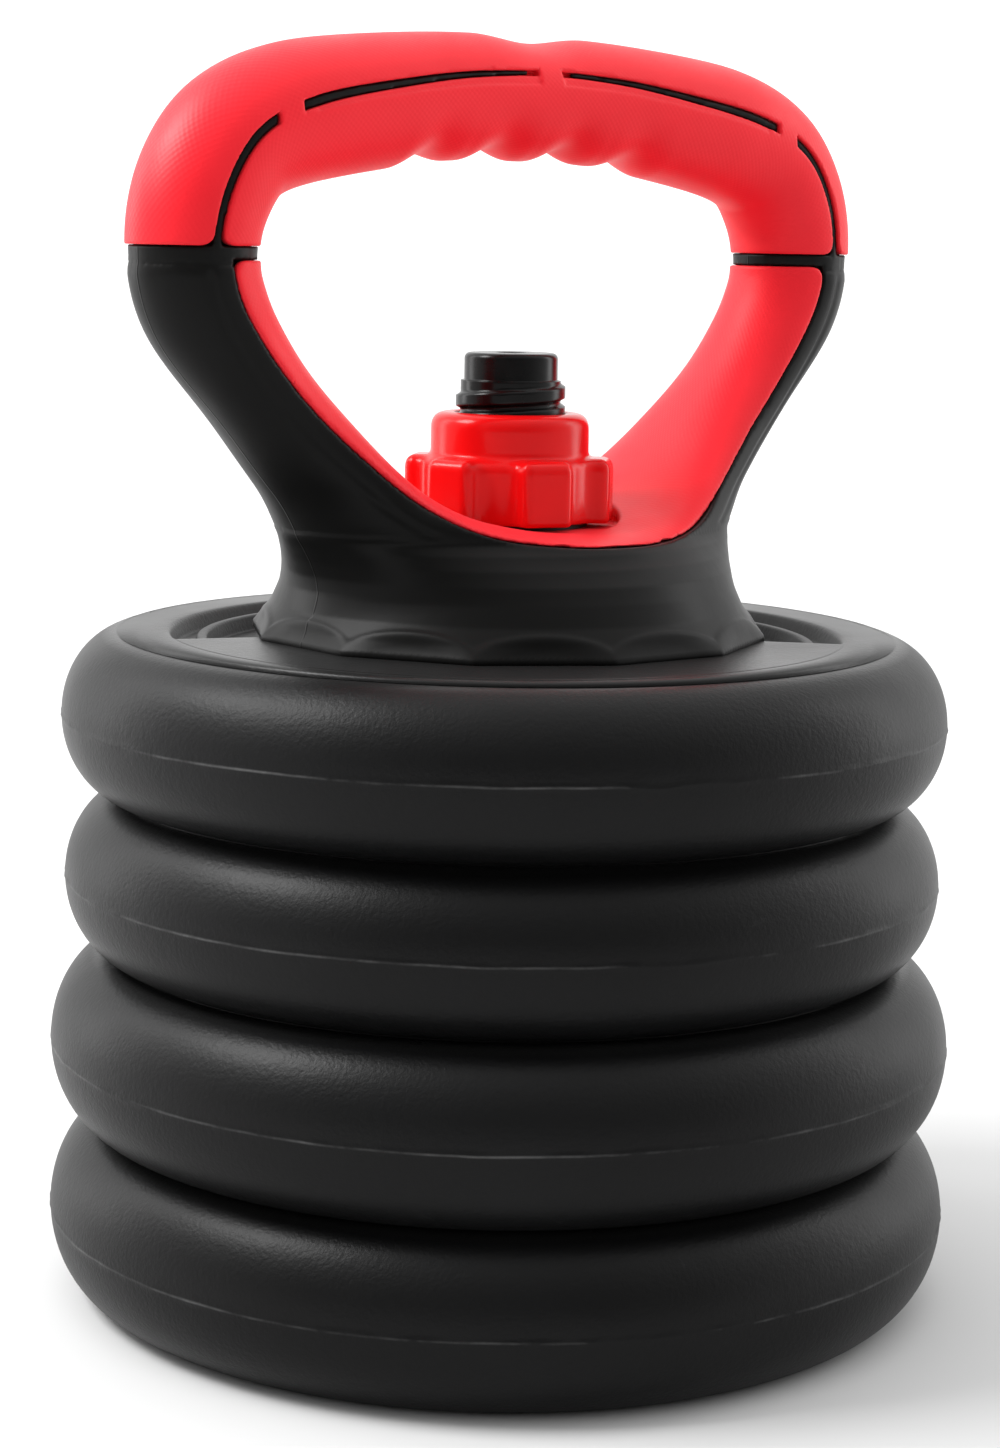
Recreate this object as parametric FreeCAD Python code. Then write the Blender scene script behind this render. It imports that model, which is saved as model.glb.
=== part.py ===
"""Kettlebell with four stacked plates, a screwed rod, a looped handle and a star nut.

Millimetres. +Z is up, +X runs along the handle's width, and the origin is on the
floor, under the middle of the stack. One STEP file per sub-part goes to parts/.
"""
import FreeCAD, Part
import math
import os

V = FreeCAD.Vector
UP = V(0, 0, 1)
ALONG_Y = V(0, 1, 0)
ORIGIN = V(0, 0, 0)

# Plates: outer radius and thickness from the bottom plate to the top one
PLATE_RADIUS = [117.2, 117.0, 113.2, 114.0]
PLATE_THICKNESS = [44.0, 44.0, 41.3, 41.4]
PLATE_GAP = 0.2
SIDE_DEPTH = 16.0          # how far the bulged side reaches beyond the flat rim
BORE_RADIUS = 15.0
SHELL = 2.8
COUNTERBORE_RADIUS = 36.0
COUNTERBORE_DEPTH = 8.0
HUB_RADIUS = 58.0
HUB_DROP = 0.9             # hub top below the rim
HUB_SLOPE = 1.5
FLOOR_DROP = 5.2           # floor round the hub below the rim
RIDGE_RADIUS = 78.2
RIDGE_DROP = 1.3
RIDGE_HALF_TOP = 1.1
RIDGE_HALF_FOOT = 2.2
GROOVE_DROP = 4.2
RIM_RADIUS = 87.8
RIM_SLOPE = 3.0
RIM_EDGE = 0.6
PLUG_RADIUS = 7.0
PLUG_PLACE = 68.0

# Rod
ROD_TOP = 241.9
ROD_CORE_RADIUS = 12.8
ROD_CREST_RADIUS = 14.0
ROD_TIP_RADIUS = 11.95
ROD_TIP_LENGTH = 5.9
TIP_ROUNDING = 0.9
THREAD_PITCH = 5.0
THREAD_START = 50.0
THREAD_RUNOUT = 2.6        # plain length between the thread and the tip
THREAD_ROOTING = 0.4       # how deep the ridge is rooted in the core
RIDGE_HALF_CREST = 0.9
RIDGE_HALF_ROOT = 1.6
FLANGE_RADIUS = 33.0
FLANGE_BOTTOM = 1.5
END_PLUG_HEIGHT = 4.5
TUBE_RADIUS = 9.0
TUBE_WALL = 2.5
TUBE_TOP = 228.0

# Star nut and its washer
SEAT_Z = 199.2
FACE_GAP = 0.1             # clearance between faces that bear on each other
WASHER_THICKNESS = 1.2
WASHER_CLEARANCE = 0.4
NUT_BOTTOM = 200.5
LOBE_TOP = 216.9
NUT_TOP = 227.9
COLLAR_RADIUS = 20.25
COLLAR_ROUNDING = 1.8
COLLAR_ROOTING = 2.0       # how deep the collar is rooted between the lobes
HUB_INSET = 0.6            # nut's hub inside its collar
LOBE_COUNT = 6
LOBE_RADIUS = 26.35
LOBE_WIDTH = 13.0
LOBE_PHASE = 11.7          # degrees from +X
LOBE_CORNER = 3.0
LOBE_ROUNDING = 1.2
NUT_BORE_RADIUS = 14.1
SEAT_RADIUS = 28.5

# Handle: the base rests on the top plate's hub
HANDLE_BOTTOM = 170.7
SKIRT_RADIUS = 66.5
SCALLOP_COUNT = 12
SCALLOP_RADIUS = 20.0
SCALLOP_DEPTH = 3.2
SCALLOP_DROP = 3.0         # scallop centre below the handle's bottom
HANDLE_BORE_RADIUS = 14.6
BAND_LOW = 265.7
BAND_HIGH = 268.9
PANEL_THICKNESS = 2.2
PANEL_EDGE = 1.6
PANEL_EDGE_ANGLE = 8.0     # degrees that the panel's edge stands inside the side line
PANEL_CUT_LIFT = 1.5
PANEL_STEPS = 12
STRIPE_HALF_WIDTH = 1.2
STRIPE_RECESS = 0.8
STRIPE_REACH = 20.0
STRIPE_STEPS = 40
STRIPE_DRIFT_TOP = 5.2     # stripe outside the middle line at the top of the grip
STRIPE_DRIFT_BAND = 2.5    # the same at the bands
GRIP_SKIN_OUTER = 4.0
GRIP_SKIN_INNER = 5.6
GRIP_SKIN_SIDE = 2.4
GROOVE_PITCH = 21.5
GROOVE_RADIUS = 10.0
GROOVE_DEPTH = 2.7
GROOVE_SHALLOWER = 0.9     # outer two grooves less deep than the inner two
THUMB_DIP_RADIUS = 86.0
THUMB_DIP_DEPTH = 1.9
OVAL_STEPS = 24
CUT_WIDTH = 60.0           # cutting solids across the grip
SLAB_LENGTH = 260.0
SLAB_WIDTH = 80.0
GRIP_HEIGHT = 80.0         # more than the grip's height above the bands

# Neck sections: height, half length in X, half width in Y
NECK = [
    (170.7, 66.5, 66.5),
    (172.4, 66.3, 66.3),
    (175.5, 63.6, 63.6),
    (179.5, 60.6, 60.5),
    (184.5, 58.0, 57.6),
    (188.6, 57.6, 54.9),
    (192.4, 60.0, 50.0),
    (195.8, 62.2, 43.5),
    (198.4, 64.0, 36.0),
]

# Right half of the lower bar, from the band down to the middle of the saddle:
# x, z, depth towards the window, depth away from it, half width in Y
LOWER_BAR = [
    (96.2, 267.9, 15.3, 15.3, 15.4),
    (95.6, 260.4, 15.2, 15.2, 15.6),
    (92.8, 253.4, 15.0, 15.0, 16.0),
    (88.0, 245.9, 13.6, 13.6, 16.4),
    (78.1, 233.8, 11.9, 12.2, 17.4),
    (66.0, 221.9, 10.8, 13.6, 20.0),
    (48.5, 207.0, 8.4, 15.8, 27.0),
    (34.0, 199.6, 6.6, 17.0, 34.5),
    (17.0, 197.4, 3.6, 16.0, 43.0),
    (0.0, 197.0, 2.8, 16.0, 46.5),
]

# Right half of the grip, from the band to the middle of the top: x, z, radius
GRIP_BAR = [
    (96.2, 267.9, 16.0),
    (95.5, 275.2, 16.2),
    (92.6, 283.4, 16.6),
    (86.8, 292.0, 16.7),
    (79.5, 296.7, 16.9),
    (72.9, 299.1, 17.0),
    (64.2, 301.2, 17.0),
    (47.7, 303.6, 16.5),
    (25.0, 306.0, 15.7),
    (0.0, 306.5, 15.6),
]

# Gaps in the stripe where the grip's soft skin bridges it: x of each gap
BRIDGES = [-79.0, 0.0, 79.0]
BRIDGE_WIDTH = 7.0


def save(node, shape):
    shape.exportStep("parts/%s.step" % node)


def disc(radius, bottom, top, x=0.0, y=0.0):
    return Part.makeCylinder(radius, top - bottom, V(x, y, bottom))


def tube(outer, inner, bottom, top):
    return disc(outer, bottom, top).cut(disc(inner, bottom, top))


def edges_at(shape, height):
    """Edges that lie at one height."""
    return [e for e in shape.Edges if abs(e.CenterOfMass.z - height) < 0.01]


def plate_solid(radius, half, face_points, inset):
    """Plate body about z = 0: recessed faces and one half ellipse as its side."""
    rim = radius - SIDE_DEPTH
    top_of_side = V(rim, 0, half - inset)
    ellipse = Part.Ellipse(top_of_side, V(radius - inset, 0, 0), V(rim, 0, 0))
    side = Part.ArcOfEllipse(ellipse, 0, math.pi)
    face_line = [V(r, 0, z) for r, z in face_points]
    top = Part.makePolygon(face_line + [top_of_side])
    bottom = top.mirror(ORIGIN, UP)
    bore = Part.makeLine(face_line[0], V(face_line[0].x, 0, -face_line[0].z))
    edges = top.Edges + bottom.Edges + [bore, side.toShape()]
    outline = Part.Wire(Part.__sortEdges__(edges))
    return Part.Face(outline).revolve(ORIGIN, UP, 360)


def plate_faces(half):
    """Upper half of the recessed face, from the bore to the rim."""
    floor = half - FLOOR_DROP
    groove = half - GROOVE_DROP
    ridge = half - RIDGE_DROP
    hub = half - HUB_DROP
    return [
        (BORE_RADIUS, half - COUNTERBORE_DEPTH),
        (COUNTERBORE_RADIUS, half - COUNTERBORE_DEPTH),
        (COUNTERBORE_RADIUS, hub),
        (HUB_RADIUS, hub),
        (HUB_RADIUS + HUB_SLOPE, floor),
        (RIDGE_RADIUS - RIDGE_HALF_FOOT, floor),
        (RIDGE_RADIUS - RIDGE_HALF_TOP, ridge),
        (RIDGE_RADIUS + RIDGE_HALF_TOP, ridge),
        (RIDGE_RADIUS + RIDGE_HALF_FOOT, groove),
        (RIM_RADIUS - RIM_SLOPE, groove),
        (RIM_RADIUS - 2 * RIM_EDGE, half - RIM_EDGE),
        (RIM_RADIUS, half),
    ]


def fill_faces(half):
    """Upper half of the filling's face, one shell thickness inside the plate."""
    deep = half - COUNTERBORE_DEPTH - SHELL
    floor = half - FLOOR_DROP - SHELL
    return [
        (BORE_RADIUS + SHELL, deep),
        (COUNTERBORE_RADIUS + SHELL, deep),
        (COUNTERBORE_RADIUS + SHELL, half - HUB_DROP - SHELL),
        (HUB_RADIUS - SHELL, half - HUB_DROP - SHELL),
        (HUB_RADIUS + HUB_SLOPE - SHELL, floor),
        (RIM_RADIUS, floor),
        (RIM_RADIUS + SHELL, half - SHELL),
    ]


def make_plate(name, radius, bottom, thickness):
    half = thickness / 2
    centre = bottom + half
    outer = plate_solid(radius, half, plate_faces(half), 0.0)
    fill = plate_solid(radius, half, fill_faces(half), SHELL)
    plug_bottom = FLOOR_DROP - half
    hole = disc(PLUG_RADIUS, plug_bottom, plug_bottom + SHELL, PLUG_PLACE)
    shell = outer.cut(fill).cut(hole)
    plug = hole.copy()
    for solid in (shell, fill, plug):
        solid.translate(V(0, 0, centre))
    save(name + "_shell", shell)
    save(name + "_cement_fill", fill)
    save(name + "_filler_plug", plug)


def make_plates():
    bottom = 0.0
    rows = zip(PLATE_RADIUS, PLATE_THICKNESS)
    for number, (radius, thickness) in enumerate(rows, start=1):
        make_plate("plate_%d" % number, radius, bottom, thickness)
        bottom += thickness + PLATE_GAP


def thread_ridge(bottom, top):
    """Right-handed ridge with a trapezium section, rooted inside the core."""
    root = ROD_CORE_RADIUS - THREAD_ROOTING
    helix = Part.makeHelix(THREAD_PITCH, top - bottom, root)
    helix.translate(V(0, 0, bottom))
    profile = Part.makePolygon([
        V(root, 0, bottom - RIDGE_HALF_ROOT),
        V(ROD_CREST_RADIUS, 0, bottom - RIDGE_HALF_CREST),
        V(ROD_CREST_RADIUS, 0, bottom + RIDGE_HALF_CREST),
        V(root, 0, bottom + RIDGE_HALF_ROOT),
        V(root, 0, bottom - RIDGE_HALF_ROOT),
    ])
    return Part.Wire(helix.Edges).makePipeShell([profile], True, True)


def make_rod():
    shoulder = ROD_TOP - ROD_TIP_LENGTH
    core = disc(ROD_CORE_RADIUS, FLANGE_BOTTOM, shoulder)
    tip = disc(ROD_TIP_RADIUS, shoulder, ROD_TOP)
    tip = tip.makeFillet(TIP_ROUNDING, edges_at(tip, ROD_TOP))
    flange = disc(FLANGE_RADIUS, FLANGE_BOTTOM, COUNTERBORE_DEPTH)
    rod = core.fuse(thread_ridge(THREAD_START, shoulder - THREAD_RUNOUT)).fuse(tip).fuse(flange)
    rod = rod.cut(disc(TUBE_RADIUS, FLANGE_BOTTOM, TUBE_TOP)).removeSplitter()
    save("threaded_rod", rod)
    plug_top = FLANGE_BOTTOM + END_PLUG_HEIGHT
    save("rod_steel_tube", tube(TUBE_RADIUS, TUBE_RADIUS - TUBE_WALL, plug_top, TUBE_TOP))
    save("rod_end_plug", disc(TUBE_RADIUS, FLANGE_BOTTOM, plug_top))


def nut_lobe(angle):
    """One lobe: a rounded block that reaches from the axis to the rim."""
    block = Part.makeBox(LOBE_RADIUS, LOBE_WIDTH, LOBE_TOP - NUT_BOTTOM,
                         V(0, -LOBE_WIDTH / 2, NUT_BOTTOM))
    middle = (NUT_BOTTOM + LOBE_TOP) / 2
    corners = [e for e in edges_at(block, middle) if e.CenterOfMass.x > LOBE_RADIUS / 2]
    block = block.makeFillet(LOBE_CORNER, corners)
    tops = [e for e in edges_at(block, LOBE_TOP) if e.CenterOfMass.x > LOBE_CORNER / 2]
    block = block.makeFillet(LOBE_ROUNDING, tops)
    block.rotate(ORIGIN, UP, angle)
    return block


def make_nut():
    hub = disc(COLLAR_RADIUS - HUB_INSET, NUT_BOTTOM, LOBE_TOP)
    collar = disc(COLLAR_RADIUS, LOBE_TOP - COLLAR_ROOTING, NUT_TOP)
    nut = hub.fuse(collar.makeFillet(COLLAR_ROUNDING, edges_at(collar, NUT_TOP)))
    for number in range(LOBE_COUNT):
        nut = nut.fuse(nut_lobe(LOBE_PHASE + number * 360.0 / LOBE_COUNT))
    nut = nut.cut(disc(NUT_BORE_RADIUS, NUT_BOTTOM - 1, NUT_TOP + 1)).removeSplitter()
    save("star_nut", nut)
    low = SEAT_Z + FACE_GAP
    bore = NUT_BORE_RADIUS + WASHER_CLEARANCE
    save("nut_washer", tube(COLLAR_RADIUS, bore, low, low + WASHER_THICKNESS))


def both_halves(rows):
    """Rows of the whole bar, from the left end to the right, sharing the middle row."""
    left = [(-row[0],) + row[1:] for row in rows]
    return left + list(reversed(rows[:-1]))


def bar_frames(rows):
    """Smooth line through the rows, and at each row its inward normal."""
    points = [V(row[0], 0, row[1]) for row in rows]
    line = Part.BSplineCurve()
    line.interpolate(points)
    frames = []
    for point in points:
        tangent = V(line.tangent(line.parameter(point))[0])
        frames.append((point, V(-tangent.z, 0, tangent.x)))
    return line, frames


def place(frame, depth, width):
    """Point at a depth along the frame's normal and a width along Y."""
    point, normal = frame
    return point + normal * depth + ALONG_Y * width


def oval_wire(frame, inward, outward, half_width):
    """Closed section: two half ellipses that share the same half width."""
    points = []
    for step in range(OVAL_STEPS):
        turn = 2 * math.pi * step / OVAL_STEPS
        depth = inward if math.sin(turn) > 0 else outward
        points.append(place(frame, depth * math.sin(turn), half_width * math.cos(turn)))
    curve = Part.BSplineCurve()
    curve.interpolate(points, True)
    return Part.Wire(curve.toShape())


def layer_wire(frame, inward, half_width, lift):
    """Section of the soft layer on the window side, its outer face raised by lift."""
    edge = math.radians(PANEL_EDGE_ANGLE)
    outer = []
    inner = []
    for step in range(PANEL_STEPS + 1):
        turn = edge + (math.pi - 2 * edge) * step / PANEL_STEPS
        depth = inward * math.sin(turn)
        outer.append(place(frame, depth + lift, half_width * math.cos(turn)))
        inner.append(place(frame, depth - PANEL_THICKNESS, (half_width - PANEL_EDGE) * math.cos(turn)))
    top = Part.BSplineCurve()
    top.interpolate(outer)
    low = Part.BSplineCurve()
    low.interpolate(list(reversed(inner)))
    ends = [Part.makeLine(outer[-1], inner[-1]), Part.makeLine(inner[0], outer[0])]
    return Part.Wire([top.toShape(), ends[0], low.toShape(), ends[1]])


def band_box(bottom, top):
    """Slab across both legs between two heights."""
    corner = V(-SLAB_LENGTH / 2, -SLAB_WIDTH / 2, bottom)
    return Part.makeBox(SLAB_LENGTH, SLAB_WIDTH, top - bottom, corner)


def grip_solid(skin_in, skin_out, skin_side):
    """Grip loop with its section reduced by the given skin thicknesses."""
    rows = both_halves(GRIP_BAR)
    frames = bar_frames(rows)[1]
    wires = []
    for row, frame in zip(rows, frames):
        radius = row[2]
        wires.append(oval_wire(frame, radius - skin_in, radius - skin_out, radius - skin_side))
    return Part.makeLoft(wires, True, False)


def stripe_ribbon():
    """Band through the grip, a little outside its middle line, without the bridged gaps."""
    line = bar_frames(both_halves(GRIP_BAR))[0]
    first, last = line.FirstParameter, line.LastParameter
    sides = ([], [])
    for step in range(STRIPE_STEPS + 1):
        at = first + (last - first) * step / STRIPE_STEPS
        point = line.value(at)
        tangent = line.tangent(at)[0]
        normal = V(-tangent.z, 0, tangent.x)
        share = abs(point.x) / GRIP_BAR[0][0]
        drift = STRIPE_DRIFT_TOP + share * (STRIPE_DRIFT_BAND - STRIPE_DRIFT_TOP)
        middle = point - normal * drift - ALONG_Y * STRIPE_REACH
        sides[0].append(middle + normal * STRIPE_HALF_WIDTH)
        sides[1].append(middle - normal * STRIPE_HALF_WIDTH)
    curves = []
    for points in sides:
        curve = Part.BSplineCurve()
        curve.interpolate(points)
        curves.append(curve.toShape())
    ends = [Part.makeLine(sides[0][0], sides[1][0]), Part.makeLine(sides[0][-1], sides[1][-1])]
    face = Part.Face(Part.Wire(Part.__sortEdges__(curves + ends)))
    ribbon = face.extrude(ALONG_Y * (2 * STRIPE_REACH))
    for x in BRIDGES:
        corner = V(x - BRIDGE_WIDTH / 2, -CUT_WIDTH / 2, BAND_HIGH)
        ribbon = ribbon.cut(Part.makeBox(BRIDGE_WIDTH, CUT_WIDTH, GRIP_HEIGHT, corner))
    return ribbon


def grip_hollows():
    """Finger grooves under the grip and the thumb dip on top of it."""
    middle = GRIP_BAR[-1][1]
    radius = GRIP_BAR[-1][2]
    low = middle - radius + GROOVE_DEPTH - GROOVE_RADIUS
    hollows = []
    for steps in (-1.5, -0.5, 0.5, 1.5):
        drop = GROOVE_SHALLOWER if abs(steps) > 1 else 0.0
        centre = V(steps * GROOVE_PITCH, -CUT_WIDTH / 2, low - drop)
        hollows.append(Part.makeCylinder(GROOVE_RADIUS, CUT_WIDTH, centre, ALONG_Y))
    dip = V(0, -CUT_WIDTH / 2, middle + radius - THUMB_DIP_DEPTH + THUMB_DIP_RADIUS)
    hollows.append(Part.makeCylinder(THUMB_DIP_RADIUS, CUT_WIDTH, dip, ALONG_Y))
    return hollows


def ellipse_wire(z, half_x, half_y):
    points = []
    for step in range(OVAL_STEPS):
        turn = 2 * math.pi * step / OVAL_STEPS
        points.append(V(half_x * math.cos(turn), half_y * math.sin(turn), z))
    curve = Part.BSplineCurve()
    curve.interpolate(points, True)
    return Part.Wire(curve.toShape())


def neck_solid():
    neck = Part.makeLoft([ellipse_wire(*row) for row in NECK], True, False)
    reach = SKIRT_RADIUS + SCALLOP_RADIUS - SCALLOP_DEPTH
    for number in range(SCALLOP_COUNT):
        turn = 2 * math.pi * number / SCALLOP_COUNT
        centre = V(reach * math.cos(turn), reach * math.sin(turn), HANDLE_BOTTOM - SCALLOP_DROP)
        neck = neck.cut(Part.makeSphere(SCALLOP_RADIUS, centre))
    return neck


def lower_bar_solid():
    rows = both_halves(LOWER_BAR)
    frames = bar_frames(rows)[1]
    wires = [oval_wire(frame, row[2], row[3], row[4]) for row, frame in zip(rows, frames)]
    return Part.makeLoft(wires, True, False)


def saddle_solid(lift):
    rows = both_halves(LOWER_BAR)
    frames = bar_frames(rows)[1]
    wires = [layer_wire(frame, row[2], row[4], lift) for row, frame in zip(rows, frames)]
    return Part.makeLoft(wires, True, False)


def grip_parts():
    """Soft skin over the grip, and the core with its stripe ribs."""
    above = band_box(BAND_HIGH, BAND_HIGH + GRIP_HEIGHT)
    ribbon = stripe_ribbon().common(above)
    recessed = grip_solid(STRIPE_RECESS, STRIPE_RECESS, STRIPE_RECESS)
    core = grip_solid(GRIP_SKIN_INNER, GRIP_SKIN_OUTER, GRIP_SKIN_SIDE)
    core = core.common(band_box(BAND_LOW, BAND_HIGH + GRIP_HEIGHT))
    core = core.fuse(recessed.common(ribbon))
    skin = grip_solid(0.0, 0.0, 0.0).common(above).cut(ribbon).cut(core)
    for hollow in grip_hollows():
        skin = skin.cut(hollow)
    return skin, core


def make_handle():
    skin, core = grip_parts()
    bore = disc(HANDLE_BORE_RADIUS, HANDLE_BOTTOM - 1, NUT_TOP)
    seat = disc(SEAT_RADIUS, SEAT_Z, NUT_TOP)
    below = band_box(HANDLE_BOTTOM, BAND_LOW)
    lower = lower_bar_solid().common(band_box(HANDLE_BOTTOM, BAND_HIGH))
    casing = neck_solid().fuse(lower).fuse(core)
    casing = casing.cut(saddle_solid(PANEL_CUT_LIFT).common(below)).cut(bore).cut(seat)
    saddle = saddle_solid(0.0).common(below).cut(bore).cut(seat)
    save("handle_casing", casing)
    save("grip_skin", skin)
    save("saddle_panel", saddle)


os.makedirs("parts", exist_ok=True)
make_plates()
make_rod()
make_nut()
make_handle()
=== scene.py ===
"""Looks of a kettlebell with stacked plates: fine meshes, moulded plastic and soft rubber.

Blender works in metres; the shape functions below work in millimetres (MM converts).
The handle and the nut are drawn as smooth fields and meshed where the field is zero.
"""
import math

import bmesh
import bpy
import numpy as np
from mathutils import Matrix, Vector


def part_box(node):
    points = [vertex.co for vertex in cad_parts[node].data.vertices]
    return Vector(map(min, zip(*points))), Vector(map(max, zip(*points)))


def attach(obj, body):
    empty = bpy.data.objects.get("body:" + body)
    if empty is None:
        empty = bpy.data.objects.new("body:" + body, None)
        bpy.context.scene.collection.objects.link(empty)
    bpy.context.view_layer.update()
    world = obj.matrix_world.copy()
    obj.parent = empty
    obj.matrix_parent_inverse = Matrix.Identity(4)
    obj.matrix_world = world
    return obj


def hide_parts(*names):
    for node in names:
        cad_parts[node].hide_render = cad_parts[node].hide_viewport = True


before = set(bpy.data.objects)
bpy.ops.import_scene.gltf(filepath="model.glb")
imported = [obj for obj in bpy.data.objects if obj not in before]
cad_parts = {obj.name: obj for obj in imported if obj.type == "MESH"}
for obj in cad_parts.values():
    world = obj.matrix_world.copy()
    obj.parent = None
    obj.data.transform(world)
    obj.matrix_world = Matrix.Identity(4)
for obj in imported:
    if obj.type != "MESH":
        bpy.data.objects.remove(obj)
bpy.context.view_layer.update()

MM = 0.001
COARSE = 1.0      # grid step factor while working

# Camera: lens and sensor in millimetres, the eye's place, and where it looks
SENSOR_HEIGHT = 36.0
SENSOR_WIDTH = SENSOR_HEIGHT * 1000 / 1448
LENS = 77.047
CLIP_END = 20.0
CAMERA_PLACE = (-0.4943, -0.6229, 0.2723)
CAMERA_YAW = math.radians(38.35)
CAMERA_PITCH = math.radians(8.95)
CAMERA_ROLL = math.radians(1.05)

# Surroundings: brightness in front of the object, behind it, and added overhead
WORLD_FRONT = 0.20
WORLD_BACK = 1.35
WORLD_ZENITH = 0.5

# Handle: rows of the closed loop, as in the CAD (x, z, depth in, depth out, half width)
LOWER_BAR = [
    (0.0, 197.0, 2.8, 16.0, 46.5),
    (17.0, 197.4, 3.6, 16.0, 43.0),
    (34.0, 199.6, 6.6, 17.0, 34.5),
    (48.5, 207.0, 8.4, 15.8, 27.0),
    (66.0, 221.9, 10.8, 13.6, 20.0),
    (78.1, 233.8, 11.9, 12.2, 17.4),
    (88.0, 245.9, 13.6, 13.6, 16.4),
    (92.8, 253.4, 15.0, 15.0, 16.0),
    (95.6, 260.4, 15.5, 15.5, 15.8),
    (96.2, 267.9, 15.9, 15.9, 15.9),
]
GRIP_BAR = [
    (95.5, 275.2, 16.2, 16.2, 16.2),
    (92.6, 283.4, 16.6, 16.6, 16.6),
    (86.8, 292.0, 16.7, 16.7, 16.7),
    (79.5, 296.7, 16.9, 16.9, 16.9),
    (72.9, 299.1, 17.0, 17.0, 17.0),
    (64.2, 301.2, 17.0, 17.0, 17.0),
    (47.7, 303.6, 16.5, 16.5, 16.5),
    (25.0, 306.0, 15.7, 15.7, 15.7),
    (0.0, 306.5, 15.6, 15.6, 15.6),
]
NECK = [
    (170.7, 66.5, 66.5),
    (172.4, 66.3, 66.3),
    (175.5, 63.6, 63.6),
    (179.5, 60.8, 60.6),
    (184.5, 58.8, 58.0),
    (188.6, 58.4, 55.2),
    (192.4, 58.8, 50.5),
    (195.8, 59.6, 44.0),
    (198.4, 60.6, 36.0),
]
NECK_BLEND = 14.0
SCALLOPS = 12
SCALLOP_DEPTH = 2.0          # dent at the skirt's lower edge
SCALLOP_RADII = (10.0, 25.5, 9.6)        # inward, round the skirt, and upward
SCALLOP_LIP = 0.35
BAND_LOW = 265.7
BAND_HIGH = 268.9
CASING_STEP = 0.6            # black casing stands this far inside the red skin's surface
COLLAR_LINE = 264.6          # fine step round the top of each leg
SKIN_THICKNESS = 2.4
SEAT_Z = 199.2
SEAT_RADIUS = 28.5
CUP_WALL = 0.7               # red wall and floor of the nut's seat
CUP_FLOOR = 1.2
SEAT_CUT_TOP = 240.0
BORE_RADIUS = 14.6
PANEL_THICKNESS = 2.2
PANEL_ANGLE = math.radians(7)
PANEL_PROUD = 0.25
LEG_REACH = 96.2             # middle line's greatest distance from the rod's axis
STRIPE_HALF_WIDTH = 1.25
STRIPE_RECESS = 0.9
STRIPE_DRIFT_TOP = 5.2       # stripe outside the middle line at the top of the grip
STRIPE_DRIFT_BAND = 2.5      # the same at the bands
STRIPE_COVER = 1.2           # how far the skin covers the channel's lower part at the middle
STRIPE_LEDGE = 0.45          # depth of the red ledge under the stripe's middle stretch
LEDGE_EXTRA = 0.9
LEDGE_REACH = 72.0
BRIDGES = [(-79.0, 3.2), (0.0, 3.7), (79.0, 3.2)]
GROOVES = [(-32.5, 2.4), (-10.8, 2.8), (10.8, 2.8), (32.5, 2.4)]
GROOVE_HALF_WIDTH = 9.6
THUMB_DIP = (2.0, 1.9, 19.0)
GRAIN_RADIUS = 16.0          # section radius that the grain's rows are spaced for
GRAIN_PITCH = 0.0015

# Star nut
LOBES = 6
LOBE_PHASE = math.radians(14.5)
LOBE_REACH = 26.35
LOBE_HALF_WIDTH = 6.9
LOBE_CORNER = 2.6
VALLEY_RADIUS = 22.4
COLLAR_RADIUS = 20.25
LOBE_TOP = 216.9
NUT_BORE = 14.1

# Plates: flat web that crosses the rings of both faces, on the viewer's side
WEB_TURN = math.radians(-123.35)
WEB_HALF_TURN = math.radians(78)
WEB_EDGE = math.radians(2.2)
WEB_INNER = 58.8
WEB_OUTER = 86.9
PLATE_SEGMENTS = 320
SIDE_DEPTH = 16.0            # the bulged side's half width, measured along the radius
SIDE_STEPS = 22

# Rod
THREAD_PITCH = 5.0
CORE_RADIUS = 12.8
CREST_RADIUS = 14.0
TIP_RADIUS = 11.95
TIP_LENGTH = 5.9
ROD_SEGMENTS = 96
FLANGE_RADIUS = 33.0
FLANGE_TOP = 8.0
THREAD_LOW = 50.0
THREAD_STEP = 0.42
THREAD_HALF_FOOT = 2.1
THREAD_FLANK = 0.75
TIP_EXTRA = 1.1              # the tip's soft end cap above the rod proper
THREAD_RUNOUT = 2.6          # last crest below the tip's shoulder
THREAD_END = math.radians(-24)


# ---------------------------------------------------------------- smooth fields

def soft_min(a, b, blend):
    """Union of two fields with a fillet of about the blend size."""
    mix = np.clip(0.5 + 0.5 * (b - a) / blend, 0.0, 1.0)
    return b + (a - b) * mix - blend * mix * (1.0 - mix)


def soft_max(a, b, blend):
    """Intersection of two fields with a rounded edge."""
    return -soft_min(-a, -b, blend)


def bump(offset, half_width):
    """Raised cosine that is 1 at zero and 0 from half_width on."""
    turn = np.clip(np.abs(offset) / half_width, 0.0, 1.0)
    return 0.5 + 0.5 * np.cos(math.pi * turn)


def closed_rows():
    """All rows of the loop, from the saddle's middle up the right leg and round."""
    right = LOWER_BAR + GRIP_BAR
    left = [(-row[0],) + row[1:] for row in reversed(right[1:-1])]
    return np.array(right + left, dtype=float)


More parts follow.
